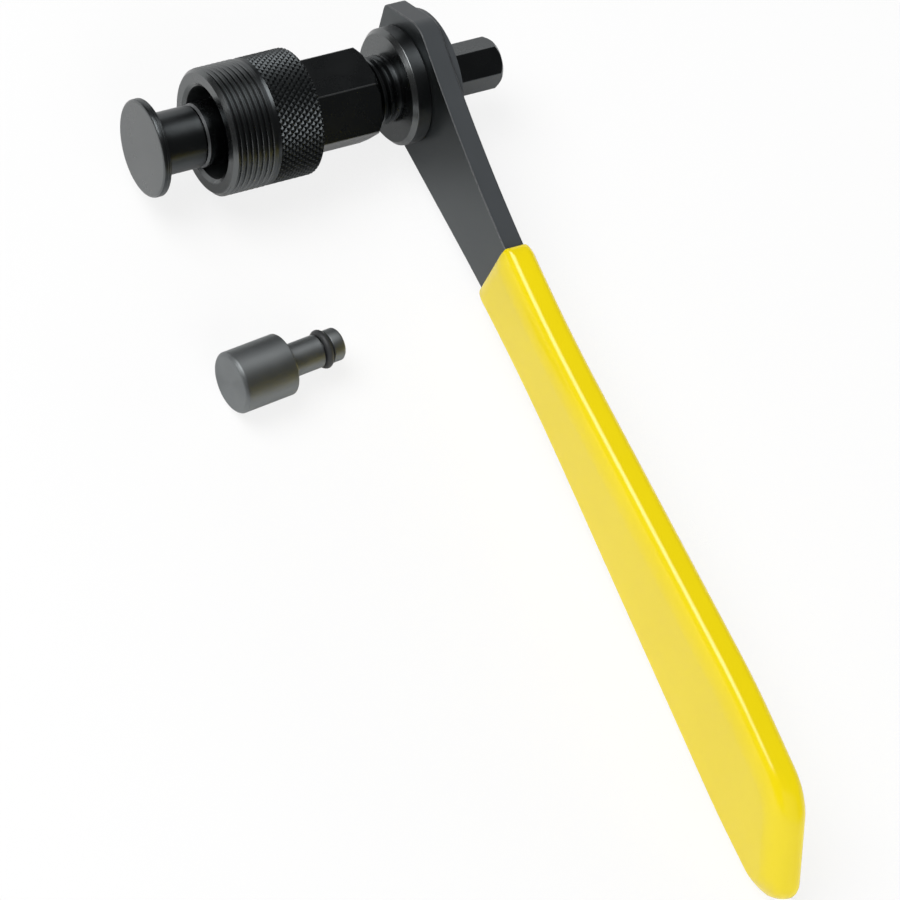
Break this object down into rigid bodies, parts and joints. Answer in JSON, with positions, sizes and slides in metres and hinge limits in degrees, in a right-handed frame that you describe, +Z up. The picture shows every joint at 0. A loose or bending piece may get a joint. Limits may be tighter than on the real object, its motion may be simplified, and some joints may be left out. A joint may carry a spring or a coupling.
{
  "type": "bicycle crank puller",
  "caption": "Hand screw press that draws a bicycle crank arm off its axle: threaded knurled body, swivel push tip, flat handle with a dipped grip, and a loose plain tip.",
  "frame": {"origin": "on the screw axis, at the front end of the crank thread's full diameter", "axes": "X is the screw axis and the push tip points to -X, the handle runs to -Y, +Z is up as the tool lies on its side"},
  "size_m": [0.0678, 0.1668, 0.0257],
  "materials": {
    "black_steel": "black oxide steel, oiled, satin",
    "grey_steel": "grey phosphated steel, satin",
    "yellow_dip": "glossy dipped vinyl",
    "black_rubber": "matte rubber"
  },
  "bodies": {
    "extractor": {"extractor_body": "black_steel", "square_taper_tip": "grey_steel", "square_taper_ring": "black_rubber"},
    "tip": {"spline_tip": "black_steel", "spline_tip_ring": "black_rubber"},
    "drive": {"drive_spindle": "black_steel", "handle_bar": "black_steel", "grip_sleeve": "yellow_dip", "retaining_washer": "black_steel"}
  },
  "joints": [
    {"name": "tip_advance", "type": "slide", "parent": "extractor", "child": "tip", "axis": [-1, 0, 0], "range_m": [-0.0103, 0.0048]},
    {"name": "handle_turn", "type": "hinge", "parent": "tip", "child": "drive", "pos_m": [0, 0, 0], "axis": [-1, 0, 0], "range_deg": [-2966, 1382]}
  ],
  "couplings": [
    {"joint": "tip_advance", "follows": "handle_turn", "m_per_rad": 0.00019894}
  ]
}
